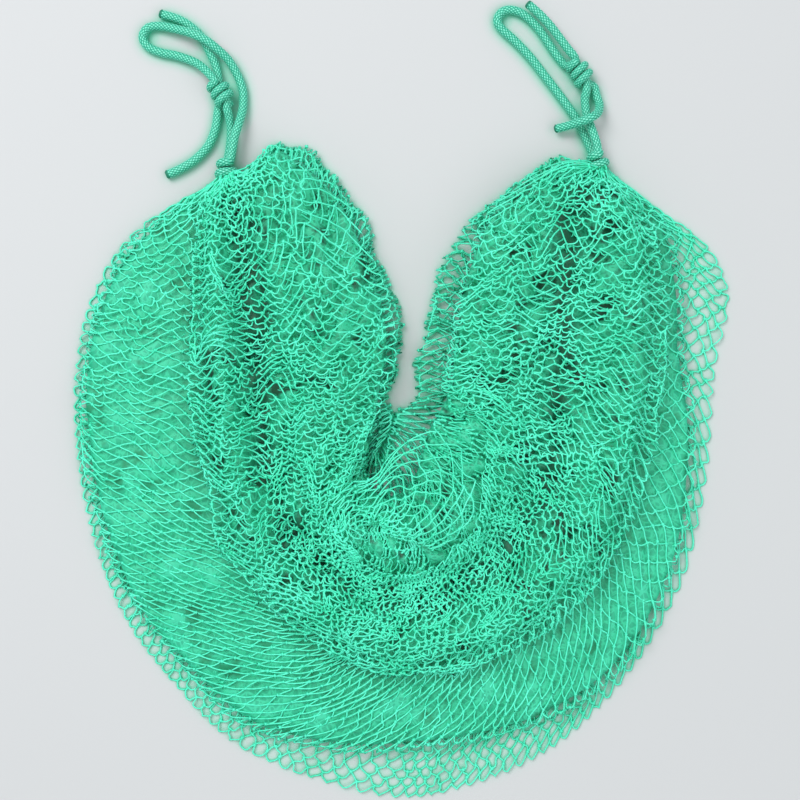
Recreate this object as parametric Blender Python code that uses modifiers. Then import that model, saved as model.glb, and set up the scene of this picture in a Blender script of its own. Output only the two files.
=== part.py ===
"""A fishing net of knotted twine, laid down on a flat surface as a horseshoe-shaped pile.

The netting is one sheet, gathered at both ends, that lies back and forth in five layers. A braided cord is hitched
through each gathered end, and its two strands are tied together half way along. Metres, +Z up; the tables are in
millimetres, and the pile's footprint is centred on the origin.
"""

import math

import bpy
import numpy as np

MM = 0.001

# ---------------------------------------------------------------- driving sizes, in millimetres
NET_THICKNESS = 2.4  # twine with its knots
LAYER_PITCH = 3.4  # centre to centre of two layers that lie on each other
LAYER_COUNT = 5
FLAT_STACK = NET_THICKNESS + (LAYER_COUNT - 1) * LAYER_PITCH
SECTIONS_BUILT = 40  # cross-sections along the horseshoe
CORD_DIAMETER = 6.0
CORD_POINT_SPACING = 4.5
RIPPLE_HEIGHT = 1.4  # unevenness of the loose layers
RIPPLES_ALONG = 13
MARGIN_LIFT = 1.0  # how far the folded-back edge stands up from the layers under it
CREST_FOLD_SHARE = 0.4  # lift at the crest's fold, as a share of the crest's
SHOULDER_AT = 0.13  # where the full height of the crest is reached, as a share of crest-to-inner
INNER_LIFT_SHARE = 0.4  # lift left at the inner edge, as a share of the ridge's

# One row per cross-section, from the left gathered end round the bottom to the right one. In plan a section
# runs from the outer edge over the crest, where the top layers fold back, to the inner edge. margin is the share
# of outer-to-crest that is one layer thick; the tops are heights of the pile; furrow_at and ridge_at are shares of
# crest-to-inner.
SECTION_COLUMNS = (
    "outer_x", "outer_y", "crest_x", "crest_y", "inner_x", "inner_y",
    "margin", "crest_top", "furrow_at", "furrow_top", "ridge_at", "ridge_top",
)
SECTIONS = (
    (-104.0, 156.5, -95.5, 157.8, -86.5, 160.5, 0.10, 16, 0.40, 16, 0.70, 16),
    (-126.5, 146.0, -104.0, 146.5, -77.5, 171.0, 0.10, 22, 0.32, 18, 0.62, 24),
    (-152.5, 126.0, -108.0, 127.0, -61.0, 181.8, 0.08, 28, 0.30, 20, 0.60, 31),
    (-172.0, 94.0, -110.5, 102.0, -28.5, 152.0, 0.06, 33, 0.30, 21, 0.60, 36),
    (-180.6, 52.0, -111.5, 71.5, -7.5, 105.0, 0.05, 36, 0.30, 22, 0.60, 38),
    (-179.6, 7.5, -110.5, 38.0, -0.5, 72.5, 0.06, 37, 0.31, 22, 0.60, 38),
    (-170.5, -39.5, -106.0, 2.0, -5.0, 43.0, 0.08, 37, 0.32, 22, 0.60, 36),
    (-153.5, -82.0, -94.0, -37.0, -10.0, 21.5, 0.10, 36, 0.33, 22, 0.61, 35),
    (-129.0, -115.5, -74.0, -67.5, -15.5, 7.5, 0.13, 34, 0.35, 22, 0.62, 36),
    (-94.0, -151.0, -42.5, -92.5, -14.5, 1.5, 0.16, 32, 0.36, 23, 0.64, 38),
    (-47.5, -172.0, -12.0, -105.5, -10.0, -2.0, 0.27, 30, 0.36, 23, 0.65, 40),
    (-1.0, -182.0, 16.0, -106.5, -5.5, -1.0, 0.37, 30, 0.36, 23, 0.65, 40),
    (43.5, -173.5, 49.0, -99.5, -2.0, 5.5, 0.33, 31, 0.37, 22, 0.66, 38),
    (88.0, -151.5, 79.5, -81.5, 0.5, 14.0, 0.24, 33, 0.38, 21, 0.66, 36),
    (125.5, -114.0, 107.5, -53.5, 3.0, 24.0, 0.14, 35, 0.40, 22, 0.67, 35),
    (154.0, -66.5, 124.0, -17.5, 5.5, 35.0, 0.16, 37, 0.42, 24, 0.69, 34),
    (167.0, -17.5, 132.5, 16.0, 6.5, 46.5, 0.22, 38, 0.42, 25, 0.70, 33),
    (171.5, 24.0, 137.0, 43.5, 8.5, 61.5, 0.32, 39, 0.42, 26, 0.70, 33),
    (173.5, 56.0, 139.0, 68.5, 13.5, 79.5, 0.50, 39, 0.42, 27, 0.70, 33),
    (181.0, 93.5, 138.5, 99.0, 20.5, 105.5, 0.60, 38, 0.42, 28, 0.70, 33),
    (170.5, 121.5, 132.5, 129.5, 35.0, 133.5, 0.55, 35, 0.42, 27, 0.70, 31),
    (144.0, 142.0, 121.5, 149.0, 61.5, 155.5, 0.30, 30, 0.42, 24, 0.70, 27),
    (125.5, 157.0, 113.5, 156.5, 87.0, 172.5, 0.15, 22, 0.42, 20, 0.70, 21),
    (118.5, 162.0, 110.5, 161.5, 101.5, 163.0, 0.10, 16, 0.42, 16, 0.70, 16),
)

# The five layers in the order in which the sheet runs, from its free edge on the surface to its free edge on top.
# Each ends at a place across the section, plus an inset from it in millimetres, and has a count of points.
LAYER_COLUMNS = ("starts_at", "ends_at", "end_inset", "points")
LAYERS = (
    ("outer", "inner", 0.0, 8),
    ("inner", "margin", 0.0, 7),
    ("margin", "inner", 5.0, 8),
    ("inner", "crest", -5.0, 7),
    ("crest", "inner", 1.5, 10),
)
FOLD_ANGLES = (-60.0, 0.0, 60.0)  # points round each fold's half turn

# Cord routes: x, y, z of points chosen along each strand's centre line, in millimetres.
LEFT_LOOP = (
    (-93.6, 169.4, 10.4), (-92.5, 176.0, 9.8), (-91.2, 183.0, 9.4), (-89.4, 189.5, 8.0), (-88.0, 196.0, 5.0),
    (-87.4, 202.5, 3.5), (-87.8, 209.5, 3.2), (-90.4, 217.0, 3.4), (-95.2, 225.1, 5.6), (-101.5, 230.9, 8.8),
    (-108.0, 235.6, 9.8), (-116.4, 239.5, 8.9), (-125.7, 242.6, 5.8), (-133.5, 244.5, 3.6), (-140.1, 243.6, 3.2),
    (-143.0, 238.6, 3.2), (-140.2, 233.4, 3.2), (-133.5, 230.2, 3.2), (-123.5, 228.0, 3.4), (-113.5, 223.9, 5.4),
    (-107.4, 218.9, 8.6), (-103.8, 214.8, 10.4),
)
LEFT_UPPER_TAIL = (
    (-100.9, 215.0, 4.4), (-102.5, 222.5, 3.4), (-105.7, 229.7, 3.2), (-109.1, 236.6, 3.2), (-114.6, 242.8, 3.2),
    (-122.4, 248.0, 3.2), (-133.6, 251.7, 3.2),
)
LEFT_RISER = (
    (-96.1, 169.7, 4.0), (-95.1, 175.5, 3.3), (-94.3, 182.0, 3.2), (-94.2, 188.5, 3.5), (-94.9, 193.8, 5.2),
    (-95.9, 198.0, 7.4),
)
LEFT_LOWER_TAIL = (
    (-101.2, 199.2, 3.8), (-101.8, 194.3, 3.3), (-103.0, 187.3, 3.2), (-106.8, 178.4, 3.2), (-114.0, 170.9, 3.2),
    (-122.0, 165.8, 3.2), (-130.1, 162.3, 3.2),
)
RIGHT_LOOP = (
    (105.8, 173.6, 3.9), (103.6, 179.2, 3.2), (100.7, 185.6, 3.2), (97.6, 191.0, 3.2), (94.7, 196.3, 3.2),
    (86.9, 207.0, 3.2), (78.8, 217.6, 3.2), (70.5, 228.2, 3.2), (61.6, 237.4, 3.2), (56.0, 242.4, 3.2),
    (53.0, 247.2, 3.2), (54.9, 251.8, 3.2), (59.3, 253.6, 3.2), (65.2, 252.3, 3.2), (70.2, 248.9, 3.2),
    (75.2, 243.9, 3.2), (79.0, 238.7, 3.2), (82.8, 232.8, 3.2), (87.1, 226.7, 3.4), (91.3, 222.5, 3.8),
)
RIGHT_UPPER_TAIL = (
    (95.2, 226.3, 7.6), (92.2, 230.0, 7.5), (88.4, 234.9, 7.6), (84.1, 240.7, 7.6), (79.5, 246.2, 7.6),
    (74.3, 251.5, 7.4), (69.1, 256.1, 7.0),
)
RIGHT_RISER = (
    (107.6, 173.8, 10.4), (106.9, 178.4, 10.2), (105.4, 183.5, 9.4), (103.8, 188.5, 8.0), (102.3, 194.0, 6.4),
    (101.4, 199.5, 5.2), (101.0, 204.2, 6.0), (101.7, 208.4, 7.6),
)
RIGHT_LOWER_TAIL = (
    (105.6, 211.5, 3.8), (107.7, 206.0, 3.4), (109.2, 200.8, 4.6), (107.8, 195.6, 9.2), (103.6, 192.0, 13.8),
    (98.4, 190.0, 12.8), (91.8, 188.6, 8.2), (84.8, 187.6, 4.0),
)

# Knots and hitches: a rounded lump each, with its turn about the vertical in degrees.
LUMP_COLUMNS = ("name", "centre", "across", "along", "up", "turn")
LUMPS = (
    ("left_hitch", (-96.6, 164.2, 7.2), 6.0, 5.2, 7.0, 0.0),
    ("left_knot", (-99.1, 206.7, 7.0), 6.3, 8.6, 6.8, 28.0),
    ("right_hitch", (108.5, 168.5, 7.2), 6.0, 5.2, 7.0, 0.0),
    ("right_knot", (98.5, 217.8, 7.1), 7.4, 8.6, 6.9, 31.0),
)

TWINE_COLOUR = (0.05, 0.66, 0.42)
CORD_COLOUR = (0.04, 0.60, 0.38)
TWINE_ROUGHNESS = 0.5
CORD_ROUGHNESS = 0.6


def clear_scene():
    for old in list(bpy.data.objects):
        bpy.data.objects.remove(old, do_unlink=True)


def plain_material(name, colour, roughness):
    material = bpy.data.materials.new(name)
    material.use_nodes = True
    shader = material.node_tree.nodes["Principled BSDF"]
    shader.inputs["Base Color"].default_value = (*colour, 1.0)
    shader.inputs["Roughness"].default_value = roughness
    shader.inputs["Metallic"].default_value = 0.0
    return material


def smooth_through(rows, at):
    """Rows read as a Catmull-Rom curve at the places given, where 1.5 is half way from row 1 to row 2."""
    rows = np.asarray(rows, float)
    last = len(rows) - 1
    first = np.clip(np.floor(at).astype(int), 0, last - 1)
    share = (at - first)[:, None]
    before, start = rows[np.maximum(first - 1, 0)], rows[first]
    end, after = rows[first + 1], rows[np.minimum(first + 2, last)]
    return start + 0.5 * share * (
        (end - before)
        + share * (2 * before - 5 * start + 4 * end - after)
        + share**2 * (3 * start - before - 3 * end + after)
    )


def plan_point(section, reach):
    """The point this far in plan from the outer edge, on the smooth line over the crest to the inner edge."""
    outer = np.array((section["outer_x"], section["outer_y"]))
    crest = np.array((section["crest_x"], section["crest_y"]))
    inner = np.array((section["inner_x"], section["inner_y"]))
    near, whole = section["crest_reach"], section["inner_reach"]
    on_outer = (reach - near) * (reach - whole) / (near * whole)
    on_crest = reach * (reach - whole) / (near * (near - whole))
    on_inner = reach * (reach - near) / (whole * (whole - near))
    return on_outer * outer + on_crest * crest + on_inner * inner


def lift_at(section, reach):
    """How far the loose pile stands above its flat stack: soft steps between edge, crest, furrow and ridge."""
    crest, inner = section["crest_reach"], section["inner_reach"]
    places = (
        0.0,
        section["margin"] * crest,
        crest,
        crest + SHOULDER_AT * (inner - crest),
        crest + section["furrow_at"] * (inner - crest),
        crest + section["ridge_at"] * (inner - crest),
        inner,
    )
    high, furrow, ridge = (section[name] - FLAT_STACK for name in ("crest_top", "furrow_top", "ridge_top"))
    lifts = (0.0, MARGIN_LIFT, CREST_FOLD_SHARE * high, high, furrow, ridge, INNER_LIFT_SHARE * ridge)
    step = min(max(int(np.searchsorted(places, reach)) - 1, 0), len(places) - 2)
    share = min(max((reach - places[step]) / (places[step + 1] - places[step]), 0.0), 1.0)
    lift = lifts[step] + (lifts[step + 1] - lifts[step]) * share * share * (3 - 2 * share)
    return max(lift, 0.0) * (1 + section["ripple"] * math.sin(reach / 9.0) / max(RIPPLE_HEIGHT, lift))


def layer_height(section, layer, reach):
    """Height of a layer's middle: the bottom layer lies flat, and the lift is shared out above it."""
    return NET_THICKNESS / 2 + layer * (LAYER_PITCH + lift_at(section, reach) / (LAYER_COUNT - 1))


def half_turn(low, high, reach, side):
    """Points of a fold that turns from one layer up to the next; side is 1 at an inner fold, -1 at an outer."""
    radius = (high - low) / 2
    return [
        (reach + side * radius * math.cos(math.radians(angle)), low + radius + radius * math.sin(math.radians(angle)))
        for angle in FOLD_ANGLES
    ]


def end_reach(section, layer, place, inset):
    """Where a layer ends: at a fold's centre, whose rounded edge then lies at the named place, or at a free edge."""
    places = {
        "inner": section["inner_reach"],
        "margin": section["margin"] * section["crest_reach"],
        "crest": section["crest_reach"],
    }
    inward = 1 if place == "inner" else -1
    edge = places[place] - inward * inset
    if layer == LAYER_COUNT - 1:
        return edge
    gap = LAYER_PITCH + lift_at(section, edge) / (LAYER_COUNT - 1)
    return edge - inward * (gap + NET_THICKNESS) / 2


def section_line(section):
    """The folded sheet's middle line in one section, as pairs of reach and height."""
    line = []
    reach = 0.0
    for layer, (_, ends_at, inset, count) in enumerate(LAYERS):
        end = end_reach(section, layer, ends_at, inset)
        line += [(r, layer_height(section, layer, r)) for r in np.linspace(reach, end, count)]
        reach = end
        if layer < LAYER_COUNT - 1:
            low = layer_height(section, layer, end)
            high = layer_height(section, layer + 1, end)
            line += half_turn(low, high, end, 1 if ends_at == "inner" else -1)
    return line


def net_sections():
    """The table's sections, read smoothly, with each one's distances in plan and its ripple."""
    at = np.linspace(0, len(SECTIONS) - 1, SECTIONS_BUILT)
    found = []
    for place, row in zip(at, smooth_through(SECTIONS, at)):
        section = dict(zip(SECTION_COLUMNS, row))
        section["crest_reach"] = math.hypot(row[2] - row[0], row[3] - row[1])
        section["inner_reach"] = section["crest_reach"] + math.hypot(row[4] - row[2], row[5] - row[3])
        section["ripple"] = RIPPLE_HEIGHT * math.sin(2 * math.pi * RIPPLES_ALONG * place / at[-1])
        found.append(section)
    return found


def build_net(collection):
    """One open surface lofted through the folded sections, given its thickness by Solidify."""
    points = []
    for section in net_sections():
        for reach, height in section_line(section):
            x, y = plan_point(section, reach)
            points.append((x * MM, y * MM, height * MM))
    across = len(points) // SECTIONS_BUILT
    faces = []
    for along in range(SECTIONS_BUILT - 1):
        for step in range(across - 1):
            corner = along * across + step
            faces.append((corner, corner + across, corner + across + 1, corner + 1))
    mesh = bpy.data.meshes.new("net")
    mesh.from_pydata(points, [], faces)
    net = bpy.data.objects.new("net", mesh)
    collection.objects.link(net)
    thickness = net.modifiers.new("netting", "SOLIDIFY")
    thickness.thickness = NET_THICKNESS * MM
    thickness.offset = 0.0
    mesh.materials.append(plain_material("net_twine", TWINE_COLOUR, TWINE_ROUGHNESS))
    return net


def cord_points(route):
    """Points at an even spacing on the smooth curve through the route's own points."""
    fine = smooth_through(route, np.linspace(0, len(route) - 1, 20 * len(route)))
    run = np.concatenate(([0.0], np.cumsum(np.linalg.norm(np.diff(fine, axis=0), axis=1))))
    count = max(4, int(round(run[-1] / CORD_POINT_SPACING)) + 1)
    even = np.linspace(0.0, run[-1], count)
    return np.stack([np.interp(even, run, fine[:, axis]) for axis in range(3)], axis=1)


def build_cord(name, route, collection):
    curve = bpy.data.curves.new(name, "CURVE")
    curve.dimensions = "3D"
    curve.bevel_depth = CORD_DIAMETER / 2 * MM
    curve.bevel_resolution = 2
    curve.use_fill_caps = True
    points = cord_points(route)
    spline = curve.splines.new("POLY")
    spline.points.add(len(points) - 1)
    for point, place in zip(spline.points, points):
        point.co = (*(place * MM), 1.0)
    cord = bpy.data.objects.new(name, curve)
    collection.objects.link(cord)
    curve.materials.append(plain_material(name + "_cord", CORD_COLOUR, CORD_ROUGHNESS))
    return cord


def build_lump(name, centre, across, along, up, turn, collection):
    bpy.ops.mesh.primitive_uv_sphere_add(segments=16, ring_count=10, radius=MM)
    lump = bpy.context.object
    lump.name = name
    lump.data.name = name
    lump.location = [value * MM for value in centre]
    lump.scale = (across, along, up)
    lump.rotation_euler = (0.0, 0.0, math.radians(turn))
    lump.data.shade_smooth()
    lump.data.materials.append(plain_material(name + "_cord", CORD_COLOUR, CORD_ROUGHNESS))
    for holder in list(lump.users_collection):
        holder.objects.unlink(lump)
    collection.objects.link(lump)
    return lump


def main():
    clear_scene()
    collection = bpy.data.collections.new("fishing_net")
    bpy.context.scene.collection.children.link(collection)
    origin = bpy.data.objects.new("net_origin", None)
    collection.objects.link(origin)
    pieces = [build_net(collection)]
    for side, routes in (
        ("left", (LEFT_LOOP, LEFT_RISER, LEFT_UPPER_TAIL, LEFT_LOWER_TAIL)),
        ("right", (RIGHT_LOOP, RIGHT_RISER, RIGHT_UPPER_TAIL, RIGHT_LOWER_TAIL)),
    ):
        for strand, route in zip(("loop", "riser", "upper_tail", "lower_tail"), routes):
            pieces.append(build_cord(f"{side}_{strand}", route, collection))
    for lump in LUMPS:
        pieces.append(build_lump(*lump, collection))
    for piece in pieces:
        piece.parent = origin


main()
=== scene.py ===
# %% [markdown]
# # A fishing net laid down to dry
#
# The net is one sheet of knotted twine netting. It is gathered at both ends on a braided cord, and it lies
# folded back and forth in a horseshoe. This lesson builds it the way that a net maker would think of it:
# first the place where it lies, then the two cords, then the netting mesh by mesh on its folds, and last
# the finishes. Every length is in metres in Blender; sizes below are written in millimetres and multiplied
# by MM.

import math

import bpy
import numpy as np
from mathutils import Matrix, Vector
from mathutils.kdtree import KDTree


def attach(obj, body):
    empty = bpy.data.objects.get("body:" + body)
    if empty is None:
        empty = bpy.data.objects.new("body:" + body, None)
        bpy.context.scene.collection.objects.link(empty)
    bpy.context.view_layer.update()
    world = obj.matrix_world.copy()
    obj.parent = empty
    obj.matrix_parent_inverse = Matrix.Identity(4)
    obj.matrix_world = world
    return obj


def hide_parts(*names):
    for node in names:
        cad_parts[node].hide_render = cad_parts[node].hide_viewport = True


MM = 0.001
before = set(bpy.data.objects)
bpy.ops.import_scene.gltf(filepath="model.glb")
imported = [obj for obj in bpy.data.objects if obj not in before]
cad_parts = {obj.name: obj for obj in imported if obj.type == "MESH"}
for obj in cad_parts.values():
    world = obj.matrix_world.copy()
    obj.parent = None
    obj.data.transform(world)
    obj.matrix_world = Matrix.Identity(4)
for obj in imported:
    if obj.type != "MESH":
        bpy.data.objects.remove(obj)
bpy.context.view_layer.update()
bpy.ops.object.select_all(action="DESELECT")

# %% [markdown]
# ## Two small helpers
#
# Colours are chosen as the hex values that a screen shows. Blender's shaders count in linear light, so one
# function turns the one into the other. A second function adds a shader node with its settings and its
# links in one line, which keeps each material readable from top to bottom.

# %% Helpers for colours and shader nodes
def linear(hex_colour):
    """A screen colour such as '#30E0A8' as linear red, green, blue and alpha."""
    values = [int(hex_colour[i:i + 2], 16) / 255 for i in (1, 3, 5)]
    return tuple(v / 12.92 if v <= 0.04045 else ((v + 0.055) / 1.055) ** 2.4 for v in values) + (1.0,)


def add_node(tree, kind, settings=(), inputs=(), **links):
    """A node of this kind, with its settings, its input values and its inputs' links given by socket name."""
    node = tree.nodes.new(kind)
    for name, value in dict(settings).items():
        setattr(node, name, value)
    for name, value in dict(inputs).items():
        node.inputs[name].default_value = value
    for name, source in links.items():
        tree.links.new(source, node.inputs[name.replace("_", " ")])
    return node


def new_material(name):
    """An empty material and its Principled shader."""
    material = bpy.data.materials.new(name)
    material.use_nodes = True
    return material, material.node_tree, material.node_tree.nodes["Principled BSDF"]


# %% [markdown]
# ## The place where it lies
#
# The net is looked at from straight above, on a plain pale surface in soft, even light. A wide,
# low-contrast key light from the top left leaves the soft shadows that let the twine stand off the surface.

# %% Camera, floor and soft studio light
CAMERA_HEIGHT = 750 * MM
VIEW_WIDTH = 444 * MM
VIEW_CENTRE = (-0.8 * MM, 38 * MM)

camera_data = bpy.data.cameras.new("camera")
camera_data.sensor_width = 36.0
camera_data.lens = 36.0 * CAMERA_HEIGHT / VIEW_WIDTH
camera = bpy.data.objects.new("camera", camera_data)
camera.location = (*VIEW_CENTRE, CAMERA_HEIGHT)
bpy.context.scene.collection.objects.link(camera)
bpy.context.scene.camera = camera

bpy.ops.mesh.primitive_plane_add(size=6.0, location=(0, 0, 0))
floor = bpy.context.object
floor.name = "floor"
floor_material, tree, shader = new_material("matt white table top")
# painted green light: an ambient-occlusion mask tints the table's colour green just under and beside the
# netting, in place of the green light that the twine lets through
painted_glow_mask = add_node(tree, "ShaderNodeAmbientOcclusion", settings={"samples": 8}, inputs={"Distance": 7 * MM})
painted_green_glow = add_node(tree, "ShaderNodeValToRGB", Fac=painted_glow_mask.outputs["AO"])
painted_green_glow.color_ramp.elements[0].position, painted_green_glow.color_ramp.elements[1].position = 0.3, 0.92
painted_green_glow.color_ramp.elements[0].color = linear("#2CCFA8")
painted_green_glow.color_ramp.elements[1].color = linear("#C8C9CB")
tree.links.new(painted_green_glow.outputs["Color"], shader.inputs["Base Color"])
shader.inputs["Roughness"].default_value = 0.9
floor.data.materials.append(floor_material)


def area_light(name, size, power, place, aim):
    """A square soft light that faces the point it is aimed at."""
    light = bpy.data.lights.new(name, "AREA")
    light.size = size
    light.energy = power
    lamp = bpy.data.objects.new(name, light)
    lamp.location = place
    lamp.rotation_euler = (Vector(aim) - Vector(place)).to_track_quat("-Z", "Y").to_euler()
    bpy.context.scene.collection.objects.link(lamp)
    return lamp


area_light("key", 1.0, 22, (-0.7, 0.8, 1.5), (0, 0, 0))
area_light("fill", 2.0, 13, (0.9, -0.6, 1.6), (0, 0, 0))
world = bpy.data.worlds.new("studio")
bpy.context.scene.world = world
world.use_nodes = True
world.node_tree.nodes["Background"].inputs["Color"].default_value = linear("#F4FAFA")
world.node_tree.nodes["Background"].inputs["Strength"].default_value = 0.6
bpy.context.scene.view_settings.view_transform = "Standard"
print("camera at", tuple(camera.location), "lens", round(camera_data.lens, 1))

# %% [markdown]
# ## The braided cords
#
# Each cord is one cut length of 6 mm braided cord. Its middle goes through the gathered end of the net, so
# two strands come out of the hitch there. One runs up into a long loop and comes back down into the knot;
# the other goes straight up into it. In the knot the two strands turn back round each other, and each goes
# on as a short tail. A strand is modelled as a tube along a smooth curve through given points, and
# the plaits are real relief: sixteen strands, eight each way round, that pass over and under each other.

# %% Routes of the strands, the same as in the part
ROUTES = {
    "left_loop": (
        (-93.6, 169.4, 10.4), (-92.5, 176.0, 9.8), (-91.2, 183.0, 9.4), (-89.4, 189.5, 8.0),
        (-88.0, 196.0, 5.0), (-87.4, 202.5, 3.5), (-87.8, 209.5, 3.2), (-90.4, 217.0, 3.4),
        (-95.2, 225.1, 5.6), (-101.5, 230.9, 8.8), (-108.0, 235.6, 9.8), (-116.4, 239.5, 8.9),
        (-125.7, 242.6, 5.8), (-133.5, 244.5, 3.6), (-140.1, 243.6, 3.2), (-143.0, 238.6, 3.2),
        (-140.2, 233.4, 3.2), (-133.5, 230.2, 3.2), (-123.5, 228.0, 3.4), (-113.5, 223.9, 5.4),
        (-107.4, 218.9, 8.6), (-103.8, 214.8, 10.4),
    ),
    "left_upper_tail": (
        (-100.9, 215.0, 4.4), (-102.5, 222.5, 3.4), (-105.7, 229.7, 3.2), (-109.1, 236.6, 3.2),
        (-114.6, 242.8, 3.2), (-122.4, 248.0, 3.2), (-133.6, 251.7, 3.2),
    ),
    "left_riser": (
        (-96.1, 169.7, 4.0), (-95.1, 175.5, 3.3), (-94.3, 182.0, 3.2), (-94.2, 188.5, 3.5),
        (-94.9, 193.8, 5.2), (-95.9, 198.0, 7.4),
    ),
    "left_lower_tail": (
        (-101.2, 199.2, 3.8), (-101.8, 194.3, 3.3), (-103.0, 187.3, 3.2), (-106.8, 178.4, 3.2),
        (-114.0, 170.9, 3.2), (-122.0, 165.8, 3.2), (-130.1, 162.3, 3.2),
    ),
    "right_loop": (
        (105.8, 173.6, 3.9), (103.6, 179.2, 3.2), (100.7, 185.6, 3.2), (97.6, 191.0, 3.2),
        (94.7, 196.3, 3.2), (86.9, 207.0, 3.2), (78.8, 217.6, 3.2), (70.5, 228.2, 3.2),
        (61.6, 237.4, 3.2), (56.0, 242.4, 3.2), (53.0, 247.2, 3.2), (54.9, 251.8, 3.2),
        (59.3, 253.6, 3.2), (65.2, 252.3, 3.2), (70.2, 248.9, 3.2), (75.2, 243.9, 3.2),
        (79.0, 238.7, 3.2), (82.8, 232.8, 3.2), (87.1, 226.7, 3.4), (91.3, 222.5, 3.8),
    ),
    "right_upper_tail": (
        (95.2, 226.3, 7.6), (92.2, 230.0, 7.5), (88.4, 234.9, 7.6), (84.1, 240.7, 7.6),
        (79.5, 246.2, 7.6), (74.3, 251.5, 7.4), (69.1, 256.1, 7.0),
    ),
    "right_riser": (
        (107.6, 173.8, 10.4), (106.9, 178.4, 10.2), (105.4, 183.5, 9.4), (103.8, 188.5, 8.0),
        (102.3, 194.0, 6.4), (101.4, 199.5, 5.2), (101.0, 204.2, 6.0), (101.7, 208.4, 7.6),
    ),
    "right_lower_tail": (
        (105.6, 211.5, 3.8), (107.7, 206.0, 3.4), (109.2, 200.8, 4.6), (107.8, 195.6, 9.2),
        (103.6, 192.0, 13.8), (98.4, 190.0, 12.8), (91.8, 188.6, 8.2), (84.8, 187.6, 4.0),
    ),
}

# Each knot and hitch: its centre and its turn about the vertical in degrees.
KNOTS = {"left": ((-99.1, 206.7, 7.0), 28.0), "right": ((98.5, 217.8, 7.1), 31.0)}
HITCHES = {"left": ((-96.0, 165.0, 7.6), -8.0), "right": ((107.9, 169.2, 7.6), 6.0)}


def smooth_through(rows, at):
    """Rows read as a Catmull-Rom curve at the places given, where 1.5 is half way from row 1 to row 2."""
    rows = np.asarray(rows, float)
    last = len(rows) - 1
    first = np.clip(np.floor(at).astype(int), 0, last - 1)
    share = (at - first)[:, None]
    before, start = rows[np.maximum(first - 1, 0)], rows[first]
    end, after = rows[first + 1], rows[np.minimum(first + 2, last)]
    return start + 0.5 * share * (
        (end - before)
        + share * (2 * before - 5 * start + 4 * end - after)
        + share**2 * (3 * start - before - 3 * end + after)
    )


def even_points(route, spacing):
    """Points at an even spacing along the smooth curve through a route."""
    fine = smooth_through(route, np.linspace(0, len(route) - 1, 30 * len(route)))
    run = np.concatenate(([0.0], np.cumsum(np.linalg.norm(np.diff(fine, axis=0), axis=1))))
    even = np.linspace(0.0, run[-1], max(8, int(round(run[-1] / spacing)) + 1))
    return np.stack([np.interp(even, run, fine[:, axis]) for axis in range(3)], axis=1), run[-1]


# %% Turns of a strand round the knot and round the gathered netting
KNOT_WRAP = 4.3  # radius of the turns' centre line
HITCH_WRAP = 4.0


def placed(spot, offsets):
    """Offsets across, along and up from a knot's or a hitch's centre, as points of the part."""
    centre, turn = spot
    turn = math.radians(turn)
    return [
        (
            centre[0] + x * math.cos(turn) - y * math.sin(turn),
            centre[1] + x * math.sin(turn) + y * math.cos(turn),
            centre[2] + z,
        )
        for x, y, z in offsets
    ]


def wraps(radius, first_angle, last_angle, start, end, count):
    """Offsets of turns round the middle line; the angle runs from the top, positive towards +across."""
    shares = [i / (count - 1) for i in range(count)]
    angles = [math.radians(first_angle + (last_angle - first_angle) * share) for share in shares]
    runs = [start + (end - start) * share for share in shares]
    return [(radius * math.sin(a), run, radius * math.cos(a)) for a, run in zip(angles, runs)]


def knot_route(side, strand):
    """The loop's strand wraps the knot and comes back up its middle; the riser's turns round inside it."""
    if strand == "loop":
        middle = [(1.2, -7.0, -2.6), (1.0, -4.0, -1.2), (0.9, 1.0, -1.2), (1.2, 4.0, -1.8)]
        return placed(KNOTS[side], wraps(KNOT_WRAP, 0, -880, 6.2, -5.4, 20) + middle)
    turned_back = [
        (0.4, -5.0, 0.8), (0.8, -0.5, 1.0), (-0.8, 1.6, 0.2), (-2.2, -1.2, -1.0), (-3.6, -4.2, -2.0),
    ]
    return placed(KNOTS[side], turned_back)


def strand_route(side, strand):
    """A whole strand: out of the hitch, up to the knot, round in it, and along its tail to the cut end."""
    tail = "upper_tail" if strand == "loop" else "lower_tail"
    route = list(ROUTES[f"{side}_{strand}"])
    if wraps_hitch(side, strand):
        start = placed(HITCHES[side], wraps(HITCH_WRAP, -500, 10, -4.4, 3.4, 12))
    else:
        start = placed(HITCHES[side], [(0.0, 0.0, -1.8)])
    return [*start, *route, *knot_route(side, strand), *ROUTES[f"{side}_{tail}"]]


def wraps_hitch(side, strand):
    """Of the two strands at a hitch, the one that comes out on top makes its turns."""
    heights = {name: ROUTES[f"{side}_{name}"][0][2] for name in ("loop", "riser")}
    return heights[strand] == max(heights.values())


# %% The braid's relief: eight plaits each way round, over and under each other
PLAITS = 8  # each way round
BRAID_PITCH = 19.0  # how far along the cord one plait takes to go once round, in millimetres
BRAID_SIDES = 32
BRAID_RING_SPACING = 0.5
BRAID_RELIEF = 0.5  # depth of the grooves between plaits
CROWN_RADIUS = 2.52  # a 6 mm cord measures a little less over its crowns when it has been pulled tight
KNOT_SQUEEZE, KNOT_REACH = 0.15, 11.0  # a knot squeezes its strands by this share, this near its centre
END_TAPER, END_LENGTH = 0.14, 1.2  # a cut end is drawn in by this share, over this length
DARK_END = 0.8  # the length at a cut end that stays dark


def braid_relief(around, along):
    """The braid's height, from 0 in the grooves to 1 on the crowns, at a share of a turn and a length."""
    right = PLAITS * (around + along / BRAID_PITCH)
    left = PLAITS * (around - along / BRAID_PITCH)
    over = np.cos(math.pi * (np.floor(right) + np.floor(left))) > 0
    across = np.where(over, right - np.floor(right), left - np.floor(left)) - 0.5
    lengthways = np.where(over, left - np.floor(left), right - np.floor(right)) - 0.5
    crown = np.clip(1.0 - (2.1 * across) ** 2, 0.0, 1.0) ** 0.8
    return crown * np.clip(1.0 - (2.2 * lengthways) ** 2, 0.0, 1.0)


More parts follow.
